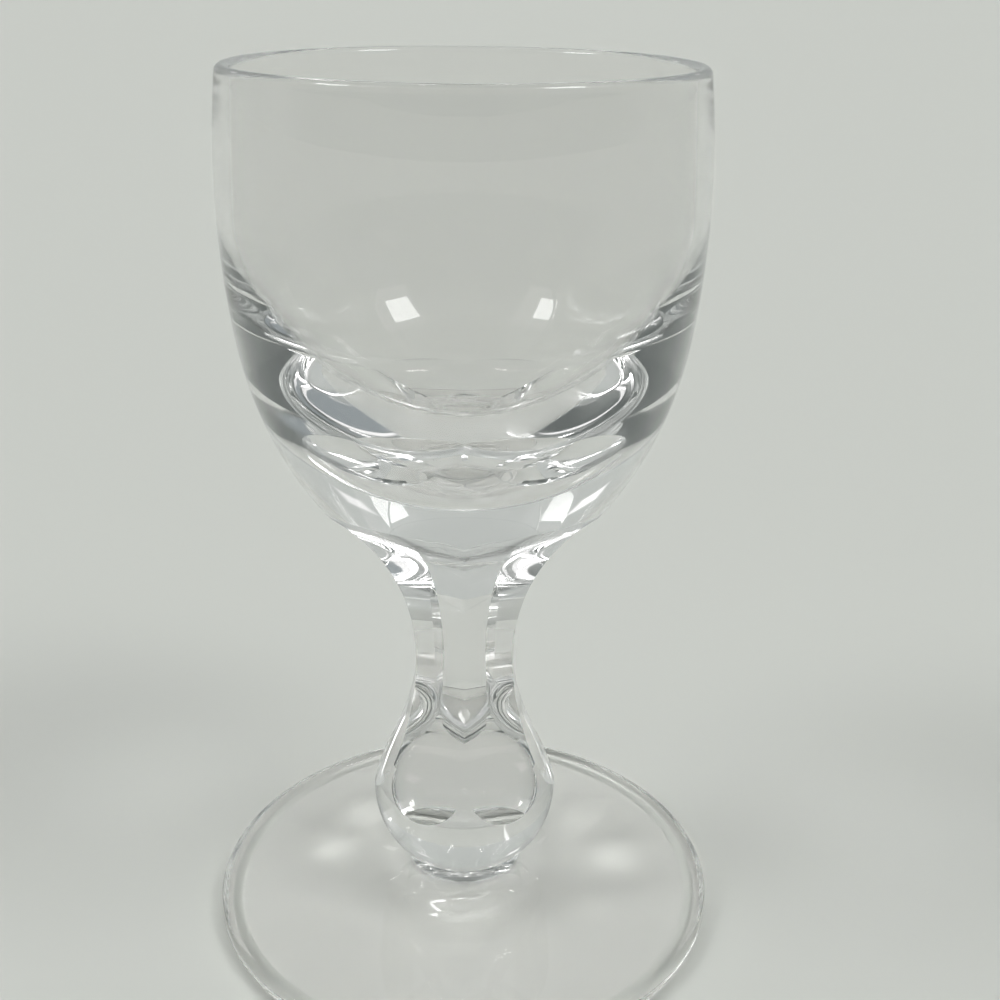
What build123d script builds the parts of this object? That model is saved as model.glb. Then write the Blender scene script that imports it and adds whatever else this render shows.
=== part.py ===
from build123d import *
from math import atan2, degrees
import os

# A cordial glass of three gathers of clear glass, fused one on the other: foot, stem and bowl.
# Sizes are in millimetres. Z is the axis of the glass, and the table is at Z = 0.

# Foot
foot_radius = 30.3
foot_height = 7.0           # table to the joint with the stem
foot_edge = 2.6             # thickness of the edge
foot_edge_round = 0.9       # rounding of the edge, above
foot_under_round = 1.6      # rounding of the edge, below
foot_round_share = 0.97     # most of the edge that the two roundings may take
foot_neck = 7.0             # radius of the joint with the stem
flare_radius = 13.5         # where the flat slope turns up to the neck
flare_height = 4.5
rest_width = 1.2            # flat ring that stands on the table
hollow_rise = 1.0           # lift of the underside from the ring to the ground centre
pontil_radius = 8.5         # ground and polished centre of the underside
pontil_depth = 0.6

# Stem, with rises counted from the joint with the foot
stem_length = 45.0
knop_radius = 11.0
knop_rise = 8.25
knop_top_radius = 9.6       # round blank just above the knop
knop_top_rise = 13.5
waist_apothem = 5.6         # axis to a flat, at the narrowest place
waist_rise = 27.5
run_out_rise = 8.9          # where a flute runs out over the knop

# Bowl, with rises counted from the joint with the stem
bowl_height = 48.0
joint_radius = 15.0         # round blank at the joint, before the flutes are cut
belly_radius = 25.35        # widest place
belly_rise = 38.0
turn_set_in = 1.1           # from the widest place in to where the side turns to the base
turn_rise = 20.6
mouth_set_in = 0.7          # from the widest place in to the outside of the mouth
wall = 1.5                  # at the mouth
belly_wall = 1.65           # at the widest place of the inside
cavity_floor_rise = 6.5     # lowest place of the inside
cavity_depth = 27.0         # lowest place of the inside up to its widest place
cavity_bottom = 18.0        # radius of the round at the bottom of the inside

# Flutes: six hollow slices, cut up the stem and into the base of the bowl
flute_count = 6
flute_top_apothem = 13.9    # axis to a flat, where the slice starts to level out
flute_top_rise = 1.6
flute_lip = 5.1             # level part of the slice, outwards and upwards
flute_lip_rise = 2.0
flute_overrun = 4.0         # the wheel leaves the glass past both ends

# Radii of the bowl that follow its widest place
turn_radius = belly_radius - turn_set_in
rim_radius = belly_radius - mouth_set_in
cavity_radius = belly_radius - belly_wall

# Heights above the table
stem_top = foot_height + stem_length
rim_top = stem_top + bowl_height
knop_height = foot_height + knop_rise
knop_top = foot_height + knop_top_rise
waist_height = foot_height + waist_rise
run_out_height = foot_height + run_out_rise
flute_top = stem_top + flute_top_rise
turn_height = stem_top + turn_rise
belly_height = stem_top + belly_rise
cavity_floor = stem_top + cavity_floor_rise
cavity_turn = cavity_floor + cavity_depth

# The side of the inside is an arc that runs on smoothly from the round at its bottom
bottom_middle = cavity_floor + cavity_bottom
side_rise = cavity_turn - bottom_middle
side_radius = (cavity_radius**2 + side_rise**2 - cavity_bottom**2) / (2 * (cavity_radius - cavity_bottom))
bottom_angle = degrees(atan2(side_radius - cavity_radius, side_rise))

UP = (0, 1)
DOWN = (0, -1)

# One flute: the slice of glass that the wheel takes away, with its flat facing +X
with BuildPart() as flute:
    with BuildSketch(Plane.XZ):
        with BuildLine():
            lip = (flute_top_apothem + flute_lip, flute_top + flute_lip_rise)
            lower = TangentArc((waist_apothem, waist_height), (knop_radius, run_out_height), tangent=DOWN)
            upper = TangentArc((waist_apothem, waist_height), (flute_top_apothem, flute_top), tangent=UP)
            level = TangentArc(upper @ 1, lip, tangent=upper % 1)
            tail = Line(lower @ 1, lower @ 1 + (lower % 1) * flute_overrun)
            reach = max(lip[0], joint_radius, (tail @ 1).X) + flute_overrun
            Polyline(tail @ 1, (reach, (tail @ 1).Y), (reach, lip[1]), level @ 1)
        make_face()
    extrude(amount=belly_radius + flute_overrun, both=True)

# The foot: a flared disc that stands on a flat ring, hollow and ground underneath
round_scale = min(1, foot_round_share * foot_edge / (foot_edge_round + foot_under_round))
edge_round = foot_edge_round * round_scale
under_round = foot_under_round * round_scale
with BuildPart() as foot:
    with BuildSketch(Plane.XZ) as foot_section:
        with BuildLine():
            slope = Line((foot_radius, foot_edge), (flare_radius, flare_height))
            TangentArc(slope @ 1, (foot_neck, foot_height), tangent=slope % 1)
            rest_inside = foot_radius - under_round - rest_width
            ground = (pontil_radius, hollow_rise)
            Polyline((foot_neck, foot_height), (0, foot_height), (0, hollow_rise + pontil_depth))
            ThreePointArc(
                (0, hollow_rise + pontil_depth),
                (pontil_radius / 2, hollow_rise + pontil_depth * 3 / 4),
                ground,
            )
            Polyline(ground, (rest_inside, 0), (foot_radius, 0), (foot_radius, foot_edge))
        make_face()
        lower_corner = foot_section.vertices().group_by(Axis.X)[-1].sort_by(Axis.Y)[0]
        fillet(lower_corner, radius=under_round)
        upper_corner = foot_section.vertices().group_by(Axis.X)[-1].sort_by(Axis.Y)[-1]
        fillet(upper_corner, radius=edge_round)
    revolve(axis=Axis.Z)
foot.part.label = "foot"

# The stem: a round blank with a knop, cut to six hollow flats that run out over the knop
with BuildPart() as stem:
    with BuildSketch(Plane.XZ):
        with BuildLine():
            knop = ThreePointArc(
                (foot_neck, foot_height),
                (knop_radius, knop_height),
                (knop_top_radius, knop_top),
            )
            Polyline(knop @ 1, (joint_radius, stem_top), (0, stem_top), (0, foot_height), knop @ 0)
        make_face()
    revolve(axis=Axis.Z)
    with PolarLocations(0, flute_count):
        add(flute.part, mode=Mode.SUBTRACT)
stem.part.label = "stem"

# The bowl: a thin-walled cup with a rounded rim over a thick base, cut by the tops of the flutes
with BuildPart() as bowl:
    with BuildSketch(Plane.XZ):
        with BuildLine():
            rim_middle = rim_top - wall / 2
            side = ThreePointArc(
                (rim_radius, rim_middle),
                (belly_radius, belly_height),
                (turn_radius, turn_height),
            )
            base = TangentArc(side @ 1, (joint_radius, stem_top), tangent=side % 1)
            Polyline(base @ 1, (0, stem_top), (0, cavity_floor))
            bottom = CenterArc((0, bottom_middle), cavity_bottom, start_angle=270, arc_size=bottom_angle)
            inside = TangentArc(bottom @ 1, (cavity_radius, cavity_turn), tangent=bottom % 1)
            mouth = TangentArc(inside @ 1, (rim_radius - wall, rim_middle), tangent=UP)
            ThreePointArc(mouth @ 1, (rim_radius - wall / 2, rim_top), side @ 0)
        make_face()
    revolve(axis=Axis.Z)
    with PolarLocations(0, flute_count):
        add(flute.part, mode=Mode.SUBTRACT)
bowl.part.label = "bowl"

os.makedirs("parts", exist_ok=True)
for piece in (foot, stem, bowl):
    export_step(piece.part, f"parts/{piece.part.label}.step")
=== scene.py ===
"""A stemmed cordial glass: a blown bowl, a slice-cut stem and a flared foot, all of clear glass."""

import logging
import math
from dataclasses import dataclass
from enum import Enum, IntEnum
from typing import Optional, Union

import bpy
from mathutils import Matrix, Vector


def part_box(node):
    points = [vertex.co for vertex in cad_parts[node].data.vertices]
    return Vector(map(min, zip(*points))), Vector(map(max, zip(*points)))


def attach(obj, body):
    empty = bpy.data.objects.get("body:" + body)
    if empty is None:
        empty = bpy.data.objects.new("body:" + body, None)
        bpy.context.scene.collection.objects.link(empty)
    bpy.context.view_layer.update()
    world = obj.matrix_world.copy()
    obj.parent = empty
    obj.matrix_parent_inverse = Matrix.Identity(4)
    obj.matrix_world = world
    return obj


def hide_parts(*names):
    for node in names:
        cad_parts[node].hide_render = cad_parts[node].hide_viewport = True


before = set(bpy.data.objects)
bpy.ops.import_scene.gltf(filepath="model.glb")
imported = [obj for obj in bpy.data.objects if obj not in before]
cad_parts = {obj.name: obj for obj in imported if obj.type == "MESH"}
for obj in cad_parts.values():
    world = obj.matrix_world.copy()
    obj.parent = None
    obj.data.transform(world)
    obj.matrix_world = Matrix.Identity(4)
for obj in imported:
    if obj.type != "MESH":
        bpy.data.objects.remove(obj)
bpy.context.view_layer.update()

log = logging.getLogger("cordial_glass")

MM = 0.001
BODY = "root"
TURN_STEPS = 192            # steps of one full turn
MERGE = MM * 1e-3           # points nearer than this are one
LEVEL = 0.999               # a face is level when its normal is this upright
CREASE = math.radians(7)    # an edge sharper than this isn't smoothed
FUSED = "fused"             # attribute that is 1 on the fused faces
UP = (0.0, 1.0)
DOWN = (0.0, -1.0)
OUT = (1.0, 0.0)

Point = tuple[float, float]
Span = tuple[float, float]
Triple = tuple[float, float, float]
Colour = tuple[float, float, float]


class Steps(IntEnum):
    """How many steps sample each kind of line in an outline."""

    REST = 2
    STRAIGHT = 4
    NECK = 6
    DISH = 16
    ROUNDING = 24
    SLOPE = 30
    CURVE = 40
    LONG_CURVE = 60
    KNOP = 80


class Seam(Enum):
    """The end of a piece where its glass is fused to the next gather."""

    UNDER = 0
    OVER = 1


# Shader graphs

class Wire:
    """One output socket of a shader graph, to be used as a number in an expression."""

    def __init__(self, graph: "Graph", socket: bpy.types.NodeSocket) -> None:
        """Keep the socket and the graph that it belongs to."""
        self.graph = graph
        self.socket = socket

    def beside(self, output: str) -> "Wire":
        """Give another output of the same node."""
        return Wire(self.graph, self.socket.node.outputs[output])

    def __add__(self, other: "Value") -> "Wire":
        """Add a wire or a number."""
        return self.graph.math("ADD", self, other)

    def __radd__(self, other: float) -> "Wire":
        """Add to a number."""
        return self.graph.math("ADD", other, self)

    def __sub__(self, other: "Value") -> "Wire":
        """Take a wire or a number away."""
        return self.graph.math("SUBTRACT", self, other)

    def __rsub__(self, other: float) -> "Wire":
        """Take away from a number."""
        return self.graph.math("SUBTRACT", other, self)

    def __mul__(self, other: "Value") -> "Wire":
        """Multiply by a wire or a number."""
        return self.graph.math("MULTIPLY", self, other)

    def __rmul__(self, other: float) -> "Wire":
        """Multiply a number."""
        return self.graph.math("MULTIPLY", other, self)

    def __truediv__(self, other: "Value") -> "Wire":
        """Divide by a wire or a number."""
        return self.graph.math("DIVIDE", self, other)

    def __lt__(self, other: "Value") -> "Wire":
        """Give 1 where this is less, else 0."""
        return self.graph.math("LESS_THAN", self, other)

    def __gt__(self, other: "Value") -> "Wire":
        """Give 1 where this is more, else 0."""
        return self.graph.math("GREATER_THAN", self, other)

    def __abs__(self) -> "Wire":
        """Drop the sign."""
        return self.graph.math("ABSOLUTE", self)


Value = Union[Wire, float]


class Graph:
    """The nodes of one material or world."""

    def __init__(self, tree: bpy.types.NodeTree) -> None:
        """Start with an empty tree."""
        self.tree = tree
        tree.nodes.clear()

    def node(
        self,
        kind: str,
        settings: Optional[dict] = None,
        sockets: Optional[dict] = None,
        output: Union[int, str] = 0,
    ) -> Optional[Wire]:
        """Add a node, set it up and wire its inputs.

        Args:
            kind: Type name of the node.
            settings: Properties of the node, set before its sockets.
            sockets: Input names or numbers, with the value or the wire of each.
            output: Name or number of the output that is wanted.

        Returns:
            The wanted output, or nothing for a node that has no outputs.
        """
        node = self.tree.nodes.new(kind)
        for name, value in (settings or {}).items():
            setattr(node, name, value)
        for name, value in (sockets or {}).items():
            if isinstance(value, Wire):
                self.tree.links.new(value.socket, node.inputs[name])
            else:
                node.inputs[name].default_value = value
        return Wire(self, node.outputs[output]) if len(node.outputs) else None

    def math(self, operation: str, *values: Value) -> Wire:
        """Add a Math node on one or two values."""
        return self.node("ShaderNodeMath", {"operation": operation}, dict(enumerate(values)))

    def ease(self, value: Wire, low: float, high: float, start: float = 0.0, end: float = 1.0) -> Wire:
        """Run smoothly from one number to another while a value goes from low to high.

        Args:
            value: The value that drives the change.
            low: Where the change starts.
            high: Where it ends.
            start: The number up to low.
            end: The number from high on.

        Returns:
            The eased number.
        """
        return self.node(
            "ShaderNodeMapRange",
            {"interpolation_type": "SMOOTHSTEP"},
            {"Value": value, "From Min": low, "From Max": high, "To Min": start, "To Max": end},
        )

    def blend(self, factor: Wire, first: Union[Wire, Colour], second: Union[Wire, Colour]) -> Wire:
        """Mix two colours.

        Args:
            factor: 0 for the first colour, 1 for the second.
            first: A colour or a wire.
            second: A colour or a wire.

        Returns:
            The mixed colour.
        """
        sides = [side if isinstance(side, Wire) else (*side, 1.0) for side in (first, second)]
        return self.node(
            "ShaderNodeMix", {"data_type": "RGBA"}, {0: factor, 6: sides[0], 7: sides[1]}, output=2
        )

    def noise(
        self,
        place: Wire,
        size: float,
        stretch: Triple = (1.0, 1.0, 1.0),
        detail: float = 1.0,
    ) -> Wire:
        """Give smooth noise between 0 and 1.

        Args:
            place: Object coordinates.
            size: Size of one swell of the noise, in metres.
            stretch: How many times longer a swell is along X, Y and Z.
            detail: Octaves of finer noise on top.

        Returns:
            The noise.
        """
        scale = tuple(1.0 / (size * part) for part in stretch)
        spot = self.node("ShaderNodeVectorMath", {"operation": "MULTIPLY"}, {0: place, 1: scale})
        return self.node("ShaderNodeTexNoise", None, {"Vector": spot, "Scale": 1.0, "Detail": detail})


# Finishes

@dataclass(frozen=True)
class GlassFinish:
    """Clear old glass. What is done to its surface is added by each kind of work."""

    name: str
    # Partly the old glass's own grey and partly painted shade: the tint is darker than the glass alone
    # would be, and stands in for shade from darker surroundings in front.
    tint_and_shade: Colour = (0.93, 0.928, 0.922)
    ior: float = 1.495
    film: float = 0.012
    film_size: float = 9 * MM
    film_detail: float = 3.0
    film_spread: Span = (0.5, 0.75)

    def relief(self, graph: Graph, place: Wire) -> Wire:
        """Give the height of the surface over its true form, in metres."""
        raise NotImplementedError

    def wear(self, graph: Graph, place: Wire) -> Value:
        """Give the roughness that use has added."""
        return 0.0

    def material(self) -> bpy.types.Material:
        """Make the glass, see-through where it is fused to the next piece.

        Returns:
            The new material.
        """
        material = bpy.data.materials.new(self.name)
        material.use_nodes = True
        graph = Graph(material.node_tree)
        place = graph.node("ShaderNodeTexCoord", output="Object")
        fused = graph.node("ShaderNodeAttribute", {"attribute_name": FUSED}, output="Fac")
        patches = graph.noise(place, self.film_size, detail=self.film_detail)
        smear = graph.ease(patches, *self.film_spread, 0.0, self.film)
        normal = graph.node(
            "ShaderNodeBump",
            None,
            {"Strength": 1.0, "Distance": 1.0, "Height": self.relief(graph, place)},
        )
        shader = graph.node(
            "ShaderNodeBsdfPrincipled",
            None,
            {
                # Base colour: the glass's grey with painted shade in it.
                "Base Color": (*self.tint_and_shade, 1.0),
                "Roughness": smear + self.wear(graph, place),
                "IOR": self.ior,
                "Transmission Weight": 1.0,
                "Alpha": 1.0 - fused,
                "Normal": normal,
            },
        )
        graph.node("ShaderNodeOutputMaterial", None, {"Surface": shader})
        return material


@dataclass(frozen=True)
class BlownFinish(GlassFinish):
    """Fire-polished glass with the slow swell of a blown wall."""

    swell: float = 9e-6
    swell_size: float = 7 * MM
    draw: float = 2.2

    def relief(self, graph: Graph, place: Wire) -> Wire:
        """Give a swell that is drawn out up the wall."""
        return graph.noise(place, self.swell_size, (1.0, 1.0, self.draw)) * self.swell


@dataclass(frozen=True)
class CutFinish(GlassFinish):
    """Glass that was cut on a wheel and polished, with faint marks across the cut."""

    mark: float = 0.6e-6
    mark_size: float = 0.5 * MM
    mark_length: float = 12.0
    mark_detail: float = 2.0
    swell: float = 4e-6
    swell_size: float = 5 * MM

    def relief(self, graph: Graph, place: Wire) -> Wire:
        """Give level marks of the wheel over a slight swell."""
        across = (self.mark_length, self.mark_length, 1.0)
        marks = graph.noise(place, self.mark_size, across, self.mark_detail) * self.mark
        return marks + graph.noise(place, self.swell_size) * self.swell


@dataclass(frozen=True)
class FormedFinish(GlassFinish):
    """Glass that was spread by hand while it was soft, and worn where it stands."""

    # The foot's glass is nearly clear, with hardly any painted shade in it.
    tint_and_shade: Colour = (0.997, 0.989, 0.988)
    swell: float = 25e-6
    swell_size: float = 8 * MM
    ripple: float = 1.5e-6
    ripple_size: float = 2.6 * MM
    rest_height: float = 0.05 * MM
    scuff: float = 0.1
    scuff_size: float = 0.6 * MM
    scuff_detail: float = 3.0
    scuff_spread: Span = (0.45, 0.65)

    def relief(self, graph: Graph, place: Wire) -> Wire:
        """Give the broad and the fine waves that the tools left."""
        broad = graph.noise(place, self.swell_size) * self.swell
        return broad + graph.noise(place, self.ripple_size) * self.ripple

    def wear(self, graph: Graph, place: Wire) -> Wire:
        """Scuff the ring that the glass stands on."""
        height = graph.node("ShaderNodeSeparateXYZ", None, {0: place}, output="Z")
        patches = graph.noise(place, self.scuff_size, detail=self.scuff_detail)
        scratches = graph.ease(patches, *self.scuff_spread, 0.0, self.scuff)
        return scratches * (height < self.rest_height)


# Outlines

def tangent_arc(start: Point, heading: Point, end: Point, steps: int) -> list[Point]:
    """Sample the arc that leaves a point along a heading and reaches another point.

    Args:
        start: Radius and height where the arc starts.
        heading: Direction of the arc at its start.
        end: Radius and height where the arc ends.
        steps: Number of points after the start.

    Returns:
        The points after the start, the last one at the end.
    """
    chord_r, chord_z = end[0] - start[0], end[1] - start[1]
    chord = math.hypot(chord_r, chord_z)
    start_angle = math.atan2(heading[1], heading[0])
    half_turn = math.remainder(math.atan2(chord_z, chord_r) - start_angle, math.tau)
    points = []
    for step in range(1, steps + 1):
        part = half_turn * step / steps
        reach = chord * math.sin(part) / math.sin(half_turn)
        angle = start_angle + part
        points.append((start[0] + reach * math.cos(angle), start[1] + reach * math.sin(angle)))
    return points


def arc_heading(start: Point, middle: Point, end: Point) -> Point:
    """Find the heading at the start of the arc through three points.

    Args:
        start: First point of the arc.
        middle: Any point between.
        end: Last point of the arc.

    Returns:
        The unit heading at the start.
    """
    to_middle = math.atan2(middle[1] - start[1], middle[0] - start[0])
    onwards = math.atan2(end[1] - middle[1], end[0] - middle[0])
    to_end = math.atan2(end[1] - start[1], end[0] - start[0])
    bend = math.remainder(onwards - to_middle, math.tau)
    return math.cos(to_end - bend), math.sin(to_end - bend)


def end_heading(points: list[Point]) -> Point:
    """Give the heading of the last step of a finely sampled line."""
    (r0, z0), (r1, z1) = points[-2:]
    length = math.hypot(r1 - r0, z1 - z0)
    return (r1 - r0) / length, (z1 - z0) / length


def straight(start: Point, end: Point, steps: int) -> list[Point]:
    """Sample a straight line in equal steps, without its start."""
    return [
        (start[0] + (end[0] - start[0]) * k / steps, start[1] + (end[1] - start[1]) * k / steps)
        for k in range(1, steps + 1)
    ]


# Modelling

def clear_selection() -> None:
    """Leave edit mode and select nothing."""
    if bpy.context.object and bpy.context.object.mode != "OBJECT":
        bpy.ops.object.mode_set(mode="OBJECT")
    bpy.ops.object.select_all(action="DESELECT")


def pick(piece: bpy.types.Object) -> None:
    """Select one piece alone and make it active."""
    clear_selection()
    bpy.context.view_layer.objects.active = piece
    piece.select_set(True)


def turn_solid(name: str, points: list[Point]) -> bpy.types.Object:
    """Draw an outline point by point and turn it about the axis of the glass.

    Args:
        name: Name of the new piece.
        points: Outline from the axis round to the axis again, in millimetres.

    Returns:
        The turned piece, closed, in object mode.
    """
    clear_selection()
    bpy.ops.mesh.primitive_plane_add(size=MM)
    piece = bpy.context.object
    piece.name = name
    bpy.ops.object.mode_set(mode="EDIT")
    bpy.ops.mesh.merge(type="CENTER")
    bpy.ops.transform.translate(value=(points[0][0] * MM, 0, points[0][1] * MM))
    for (r0, z0), (r1, z1) in zip(points, points[1:]):
        step = ((r1 - r0) * MM, 0, (z1 - z0) * MM)
        bpy.ops.mesh.extrude_vertices_move(TRANSFORM_OT_translate={"value": step})
    bpy.ops.mesh.select_all(action="SELECT")
    bpy.ops.mesh.spin(steps=TURN_STEPS, angle=math.tau, center=(0, 0, 0), axis=(0, 0, 1))
    bpy.ops.mesh.select_all(action="SELECT")
    bpy.ops.mesh.remove_doubles(threshold=MERGE)
    bpy.ops.mesh.normals_make_consistent(inside=False)
    bpy.ops.object.mode_set(mode="OBJECT")
    return piece


@dataclass
class FluteColumn:
    """The six-sided column that is left when the wheel has cut its six flutes.

    The bowl and the stem are what it has in common with their round blanks. Sizes are in
    millimetres.
    """

    foot_top: float
    stem_top: float
    waist_apothem: float = 5.6
    waist_rise: float = 27.5
    knop_radius: float = 11.0
    run_out_rise: float = 8.9
    top_apothem: float = 13.9
    top_rise: float = 1.6
    lip: float = 5.1
    lip_rise: float = 2.0
    overrun: float = 4.0
    clear: float = 45.0
    flats: int = 6
    steps: int = 48

    def rings(self) -> list[Point]:
        """List the column's apothem and height, from under the glass to over it."""
        waist = (self.waist_apothem, self.foot_top + self.waist_rise)
        run_out = (self.knop_radius, self.foot_top + self.run_out_rise)
        top = (self.top_apothem, self.stem_top + self.top_rise)
        lip = (top[0] + self.lip, top[1] + self.lip_rise)
        lower = [waist] + tangent_arc(waist, DOWN, run_out, self.steps)
        upper = tangent_arc(waist, UP, top, self.steps)
        level = tangent_arc(top, end_heading(upper), lip, self.steps // 2)
        heading = end_heading(lower)
        tail = (run_out[0] + heading[0] * self.overrun, run_out[1] + heading[1] * self.overrun)
        under = [(self.clear, -self.clear), (self.clear, tail[1]), tail]
        over = [(self.clear, lip[1]), (self.clear, self.stem_top + 2 * self.clear)]
        return under + lower[::-1] + upper + level + over

    def build(self) -> bpy.types.Object:
        """Extrude a six-sided plate ring by ring into the column.

        Returns:
            The column, a tool that isn't part of the glass.
        """
        rings = self.rings()
        corner = MM / math.cos(math.pi / self.flats)
        clear_selection()
        bpy.ops.mesh.primitive_circle_add(
            vertices=self.flats,
            radius=rings[0][0] * corner,
            fill_type="NGON",
            location=(0, 0, rings[0][1] * MM),
        )
        column = bpy.context.object
        column.name = "flute_column"
        bpy.ops.object.transform_apply()
        bpy.ops.object.mode_set(mode="EDIT")
        for (a0, z0), (a1, z1) in zip(rings, rings[1:]):
            bpy.ops.mesh.extrude_region_move(TRANSFORM_OT_translate={"value": (0, 0, (z1 - z0) * MM)})
            bpy.ops.transform.resize(value=(a1 / a0, a1 / a0, 1))
        bpy.ops.mesh.select_all(action="SELECT")
        bpy.ops.mesh.normals_make_consistent(inside=False)
        bpy.ops.object.mode_set(mode="OBJECT")
        return column

    def cut(self, blank: bpy.types.Object, column: bpy.types.Object) -> None:
        """Cut the flutes: keep what a round blank has in common with the column.

        Args:
            blank: The turned piece, which becomes the cut piece.
            column: The column.
        """
        pick(blank)
        flutes = blank.modifiers.new("flutes", "BOOLEAN")
        flutes.operation = "INTERSECT"
        flutes.solver = "EXACT"
        flutes.object = column
        bpy.ops.object.modifier_apply(modifier=flutes.name)
        bpy.ops.object.mode_set(mode="EDIT")
        bpy.ops.mesh.select_all(action="SELECT")
        bpy.ops.mesh.remove_doubles(threshold=MERGE)
        bpy.ops.object.mode_set(mode="OBJECT")


# The glass

@dataclass
class GlassPiece:
    """One gather of the glass, with its node, its finish and its fused ends."""

    node: str
    name: str
    slot: str
    finish: GlassFinish
    seams: tuple[Seam, ...]

    @property
    def bottom(self) -> float:
        """Height of the node's lowest place, in millimetres."""
        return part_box(self.node)[0][2] / MM

    @property
    def top(self) -> float:
        """Height of the node's highest place, in millimetres."""
        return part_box(self.node)[1][2] / MM

    @property
    def radius(self) -> float:
        """Largest radius of the node, in millimetres."""
        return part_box(self.node)[1][0] / MM

    def dress(self, piece: bpy.types.Object) -> None:
        """Smooth the piece, mark its fused faces, give it its glass and seat it in the frame.

        Args:
            piece: The modelled mesh.
        """
        pick(piece)
        bpy.ops.object.shade_smooth_by_angle(angle=CREASE)
        levels = {Seam.UNDER: self.bottom * MM, Seam.OVER: self.top * MM}
        fused = piece.data.attributes.new(FUSED, "FLOAT", "FACE")
        for face, mark in zip(piece.data.polygons, fused.data):
            flat = abs(face.normal.z) > LEVEL
            at_seam = any(abs(face.center.z - levels[seam]) < MERGE for seam in self.seams)
            mark.value = float(flat and at_seam)
        piece.data.materials.clear()
        piece.data.materials.append(self.finish.material())
        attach(piece, BODY)
        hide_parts(self.node)
        log.info("%s: %d faces, %s", piece.name, len(piece.data.polygons), self.finish.name)


@dataclass
class Foot(GlassPiece):
    """The flared disc that the glass stands on. Sizes are in millimetres."""

    edge: float = 2.6
    edge_round: float = 0.9
    under_round: float = 1.6
    neck: float = 7.0
    flare_radius: float = 13.5
    flare_height: float = 4.5
    rest_width: float = 1.2
    hollow_rise: float = 1.0
    pontil_radius: float = 8.5
    pontil_depth: float = 0.6

    def build(self) -> bpy.types.Object:
        """Turn the foot: from the fused top out over the edge and back underneath.

        Returns:
            The turned foot.
        """
        slope = math.atan2(self.flare_height - self.edge, self.radius - self.flare_radius)
        inwards = (-math.cos(slope), math.sin(slope))
        outwards = (math.cos(slope), -math.sin(slope))
        setback = self.edge_round / math.tan((math.pi / 2 + slope) / 2)
        shoulder = (self.radius + inwards[0] * setback, self.edge + inwards[1] * setback)
        flare = (self.flare_radius, self.flare_height)
        neck = (self.neck, self.top)
        rest = (self.radius - self.under_round, 0.0)
        rest_inside = (rest[0] - self.rest_width, 0.0)
        ground = (self.pontil_radius, self.hollow_rise)
        dish = (0.0, self.hollow_rise + self.pontil_depth)
        side_top = (self.radius, self.edge - setback)
        side_bottom = (self.radius, self.under_round)
        outline = [(0.0, self.top)] + straight((0.0, self.top), neck, Steps.NECK)
        outline += tangent_arc(flare, inwards, neck, Steps.CURVE)[-2::-1] + [flare]
        outline += straight(flare, shoulder, Steps.SLOPE)
        outline += tangent_arc(shoulder, outwards, side_top, Steps.ROUNDING) + [side_bottom]
        outline += tangent_arc(side_bottom, DOWN, rest, Steps.ROUNDING)
        outline += straight(rest, rest_inside, Steps.REST)
        outline += straight(rest_inside, ground, Steps.SLOPE)
        outline += tangent_arc(dish, OUT, ground, Steps.DISH)[-2::-1] + [dish]
        return turn_solid(self.name, outline)


@dataclass
class Stem(GlassPiece):
    """The stem with its knop, cut on six sides. Sizes are in millimetres."""

    neck: float = 7.0
    knop_radius: float = 11.0
    knop_rise: float = 8.25
    knop_top_radius: float = 9.6
    knop_top_rise: float = 13.5
    joint_radius: float = 15.0

    def build(self) -> bpy.types.Object:
        """Turn the round blank of the stem.

        Returns:
            The blank, before its flutes are cut.
        """
        neck = (self.neck, self.bottom)
        knop = (self.knop_radius, self.bottom + self.knop_rise)
        knop_top = (self.knop_top_radius, self.bottom + self.knop_top_rise)
        joint = (self.joint_radius, self.top)
        outline = [(0.0, self.bottom)] + straight((0.0, self.bottom), neck, Steps.NECK)
        outline += tangent_arc(neck, arc_heading(neck, knop, knop_top), knop_top, Steps.KNOP)
        outline += straight(knop_top, joint, Steps.STRAIGHT)
        outline += straight(joint, (0.0, self.top), Steps.STRAIGHT)
        return turn_solid(self.name, outline)


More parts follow.
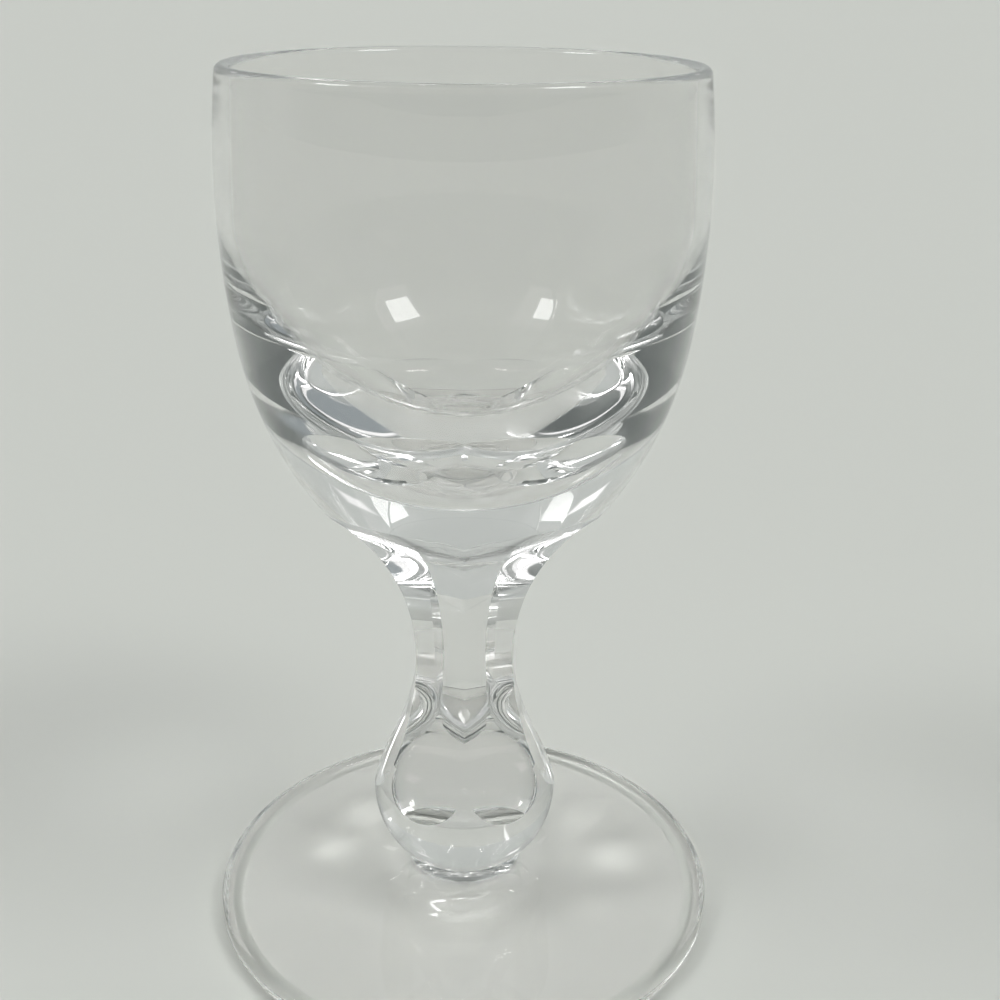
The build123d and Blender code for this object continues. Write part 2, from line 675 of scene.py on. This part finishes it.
@dataclass
class Bowl(GlassPiece):
    """The thin-walled cup over its thick base. Sizes are in millimetres."""

    joint_radius: float = 15.0
    belly_radius: float = 25.35
    belly_rise: float = 38.0
    turn_set_in: float = 1.1
    turn_rise: float = 20.6
    mouth_set_in: float = 0.7
    wall: float = 1.5
    belly_wall: float = 1.65
    cavity_floor_rise: float = 6.5
    cavity_depth: float = 27.0
    cavity_bottom: float = 18.0

    def cavity(self) -> list[Point]:
        """Sample the inside from its widest place to its floor: a long arc and a rounder bottom."""
        floor = (0.0, self.bottom + self.cavity_floor_rise)
        widest = (self.belly_radius - self.belly_wall, floor[1] + self.cavity_depth)
        rise = self.cavity_depth - self.cavity_bottom
        across = widest[0] - self.cavity_bottom
        side_radius = (widest[0] ** 2 + rise**2 - self.cavity_bottom**2) / (2 * across)
        slant = math.atan2(side_radius - widest[0], rise)
        meeting = (
            self.cavity_bottom * math.sin(slant),
            floor[1] + self.cavity_bottom * (1 - math.cos(slant)),
        )
        bottom = tangent_arc(floor, OUT, meeting, Steps.LONG_CURVE)
        side = tangent_arc(widest, DOWN, meeting, Steps.LONG_CURVE)
        return [widest] + side + bottom[-2::-1] + [floor]

    def build(self) -> bpy.types.Object:
        """Turn the cup from its outline, up the outside and down the inside.

        Returns:
            The cup, before the tops of the flutes are cut.
        """
        rim = (self.belly_radius - self.mouth_set_in, self.top - self.wall / 2)
        inner_rim = (rim[0] - self.wall, rim[1])
        belly = (self.belly_radius, self.bottom + self.belly_rise)
        turn = (self.belly_radius - self.turn_set_in, self.bottom + self.turn_rise)
        joint = (self.joint_radius, self.bottom)
        cavity = self.cavity()
        side = [rim] + tangent_arc(rim, arc_heading(rim, belly, turn), turn, Steps.CURVE)
        base = tangent_arc(turn, end_heading(side), joint, Steps.LONG_CURVE)
        outline = [(0.0, self.bottom)] + straight((0.0, self.bottom), joint, Steps.STRAIGHT)
        outline += base[-2::-1] + side[::-1]
        outline += tangent_arc(rim, UP, inner_rim, Steps.CURVE)
        outline += tangent_arc(cavity[0], UP, inner_rim, Steps.CURVE)[-2::-1] + cavity
        return turn_solid(self.name, outline)


# The studio

@dataclass(frozen=True)
class Panel:
    """A square light overhead, turned 45 degrees, with a soft edge.

    Lengths are in heights of the panel over the glass, across to the right and along to the back.
    """

    across: float
    along: float
    half: float
    strength: float
    edge: float = 0.02

    def mask(self, graph: Graph, across: Wire, along: Wire) -> Wire:
        """Give 1 inside the panel and 0 outside.

        Args:
            graph: The world's graph.
            across: Place at the panel's height, along X.
            along: Place at the panel's height, along Y.

        Returns:
            The mask.
        """
        aside, ahead = across - self.across, along - self.along
        away = graph.math("MAXIMUM", abs(aside + ahead), abs(aside - ahead))
        reach = self.half * math.sqrt(2)
        return graph.ease(away, reach, reach + self.edge, 1.0, 0.0)


@dataclass(frozen=True)
class Lamp:
    """A soft light over the table, which fades by a power of the cosine away from its heading."""

    heading: Triple
    strength: float
    focus: float


@dataclass
class Room:
    """The light: soft lamps and a fill on the table, and a room for the glass to show.

    The room is pale behind the glass and shaded in front of it, with a paler patch on the right, a dim
    band high in the back, a dim middle overhead and square panels. The two lamps at the sides stand
    where the first two panels are. A fade gives where a change starts and ends, along the axes of the
    direction or, for the patch, by the cosine to its heading.
    """

    pale: Colour = (0.545, 0.572, 0.554)
    shade: Colour = (0.11, 0.124, 0.121)
    ceiling: Colour = (0.475, 0.497, 0.484)
    patch: Colour = (0.3, 0.335, 0.35)
    patch_heading: Triple = (0.788, -0.36, 0.5)
    dim: Colour = (0.23, 0.245, 0.238)
    wall_fade: Span = (-0.45, 0.05)
    patch_fade: Span = (0.94, 0.99)
    ceiling_fade: Span = (0.62, 0.9)
    overhead_fade: Span = (0.88, 0.95)
    band_back: Span = (0.5, 0.58)
    band_bottom: Span = (0.64, 0.69)
    band_top: Span = (0.79, 0.84)
    lowest_rise: float = 0.01
    panels: tuple[Panel, ...] = (
        Panel(0.72, -0.38, 0.17, 12.0),
        Panel(-0.98, -0.22, 0.17, 12.0),
        Panel(1.32, 2.72, 0.1, 1.05, 0.3),
        Panel(-1.36, 2.12, 0.12, 1.5, 0.25),
    )
    glows: tuple[Panel, ...] = (
        Panel(0.86, -0.36, 0.3, 1.15, 0.15),
        Panel(-0.96, -0.3, 0.3, 1.15, 0.15),
    )
    lamps: tuple[Lamp, ...] = (
        Lamp((0.558, -0.295, 0.776), 12.0, 60.0),
        Lamp((-0.692, -0.155, 0.706), 12.0, 60.0),
        Lamp((0.0, 0.0, 1.0), 1.75, 8.0),
    )
    fill: float = 0.07

    def picture(self, graph: Graph, direction: Wire) -> Wire:
        """Give the colour of the room in each direction.

        Args:
            graph: The world's graph.
            direction: The direction.

        Returns:
            The colour.
        """
        x = graph.node("ShaderNodeSeparateXYZ", None, {0: direction}, output="X")
        y, z = x.beside("Y"), x.beside("Z")
        rise = graph.math("MAXIMUM", z, self.lowest_rise)
        colour = graph.blend(graph.ease(y, *self.wall_fade), self.shade, self.pale)
        patch = graph.ease(self.facing(graph, direction, self.patch_heading), *self.patch_fade)
        colour = graph.blend(patch, colour, self.patch)
        colour = graph.blend(graph.ease(z, *self.ceiling_fade), colour, self.ceiling)
        colour = graph.blend(graph.ease(z, *self.overhead_fade), colour, self.dim)
        band = graph.ease(y, *self.band_back) * graph.ease(z, *self.band_bottom)
        colour = graph.blend(band * graph.ease(z, *self.band_top, 1.0, 0.0), colour, self.dim)
        for panel in self.glows + self.panels:
            lit = panel.mask(graph, x / rise, y / rise)
            colour = graph.blend(lit, colour, (panel.strength,) * 3)
        return colour

    @staticmethod
    def facing(graph: Graph, direction: Wire, heading: Triple) -> Wire:
        """Give the cosine between each direction and a heading, or 0 past a right angle."""
        cosine = graph.node(
            "ShaderNodeVectorMath",
            {"operation": "DOT_PRODUCT"},
            {0: direction, 1: heading},
            output="Value",
        )
        return graph.math("MAXIMUM", cosine, 0.0)

    def soft_light(self, graph: Graph, direction: Wire) -> Wire:
        """Give the strength of the light that falls on the table from each direction."""
        light = self.fill
        for lamp in self.lamps:
            facing = self.facing(graph, direction, lamp.heading)
            light = light + lamp.strength * graph.math("POWER", facing, lamp.focus)
        return light

    def build(self) -> None:
        """Make the world: the soft light for the table, and the room for what glass and camera see."""
        world = bpy.data.worlds.new("room")
        world.use_nodes = True
        world.cycles.sampling_method = "NONE"
        bpy.context.scene.world = world
        graph = Graph(world.node_tree)
        direction = graph.node("ShaderNodeTexCoord", output="Generated")
        picture = graph.node("ShaderNodeBackground", None, {"Color": self.picture(graph, direction)})
        soft = graph.node(
            "ShaderNodeBackground",
            None,
            {"Color": (1.0, 1.0, 1.0, 1.0), "Strength": self.soft_light(graph, direction)},
        )
        camera = graph.node("ShaderNodeLightPath", output="Is Camera Ray")
        sharp = camera + camera.beside("Is Glossy Ray") + camera.beside("Is Transmission Ray")
        shown = (sharp > 0.5) * (camera.beside("Diffuse Depth") < 0.5)
        light = graph.node("ShaderNodeMixShader", None, {0: shown, 1: soft, 2: picture})
        graph.node("ShaderNodeOutputWorld", None, {"Surface": light})


@dataclass
class Studio:
    """The pale table, the room and the camera. Lengths are in millimetres."""

    table_colour: Colour = (0.575, 0.595, 0.56)
    table_size: float = 20000.0
    camera_distance: float = 141.3
    camera_height: float = 110.3
    lens: float = 48.6
    sensor: float = 36.0
    pitch: float = math.radians(22.15)
    yaw: float = math.radians(1.627)
    roll: float = math.radians(0.6)
    bounces: int = 48

    def build(self) -> None:
        """Set up the table, the room, the camera and the depth to which light is followed."""
        self.table()
        Room().build()
        self.camera()
        scene = bpy.context.scene
        scene.view_settings.view_transform = "Standard"
        scene.cycles.blur_glossy = 0.0
        scene.cycles.max_bounces = self.bounces
        scene.cycles.glossy_bounces = self.bounces
        scene.cycles.transmission_bounces = self.bounces
        scene.cycles.transparent_max_bounces = self.bounces

    def table(self) -> None:
        """Lay the plain pale table."""
        clear_selection()
        bpy.ops.mesh.primitive_plane_add(size=self.table_size * MM)
        table = bpy.context.object
        table.name = "table_top"
        material = bpy.data.materials.new("table")
        material.use_nodes = True
        graph = Graph(material.node_tree)
        matt = graph.node("ShaderNodeBsdfDiffuse", None, {"Color": (*self.table_colour, 1.0)})
        graph.node("ShaderNodeOutputMaterial", None, {"Surface": matt})
        table.data.materials.append(material)

    def camera(self) -> None:
        """Place the camera where the picture was taken from."""
        data = bpy.data.cameras.new("camera")
        data.lens = self.lens
        data.sensor_width = self.sensor
        data.clip_start = MM
        camera = bpy.data.objects.new("camera", data)
        bpy.context.scene.collection.objects.link(camera)
        forward = Vector((
            math.sin(self.yaw) * math.cos(self.pitch),
            math.cos(self.yaw) * math.cos(self.pitch),
            -math.sin(self.pitch),
        ))
        right = forward.cross(Vector((0, 0, 1))).normalized()
        tilt = Matrix.Rotation(-self.roll, 3, forward)
        view = Matrix((tilt @ right, tilt @ right.cross(forward), -forward)).transposed().to_4x4()
        view.translation = (0, -self.camera_distance * MM, self.camera_height * MM)
        camera.matrix_world = view
        bpy.context.scene.camera = camera


def main() -> None:
    """Build the glass and its studio, and report each piece."""
    logging.basicConfig(level=logging.INFO)
    foot = Foot("foot", "flared_foot", "foot_glass", FormedFinish("formed_glass"), (Seam.OVER,))
    stem = Stem("stem", "cut_stem", "stem_glass", CutFinish("cut_glass"), (Seam.UNDER, Seam.OVER))
    bowl = Bowl("bowl", "blown_bowl", "bowl_glass", BlownFinish("blown_glass"), (Seam.UNDER,))
    flutes = FluteColumn(foot.top, stem.top)
    column = flutes.build()
    for gather in (foot, stem, bowl):
        piece = gather.build()
        if gather is not foot:
            flutes.cut(piece, column)
        gather.dress(piece)
    bpy.data.objects.remove(column)
    Studio().build()


if __name__ == "__main__":
    main()
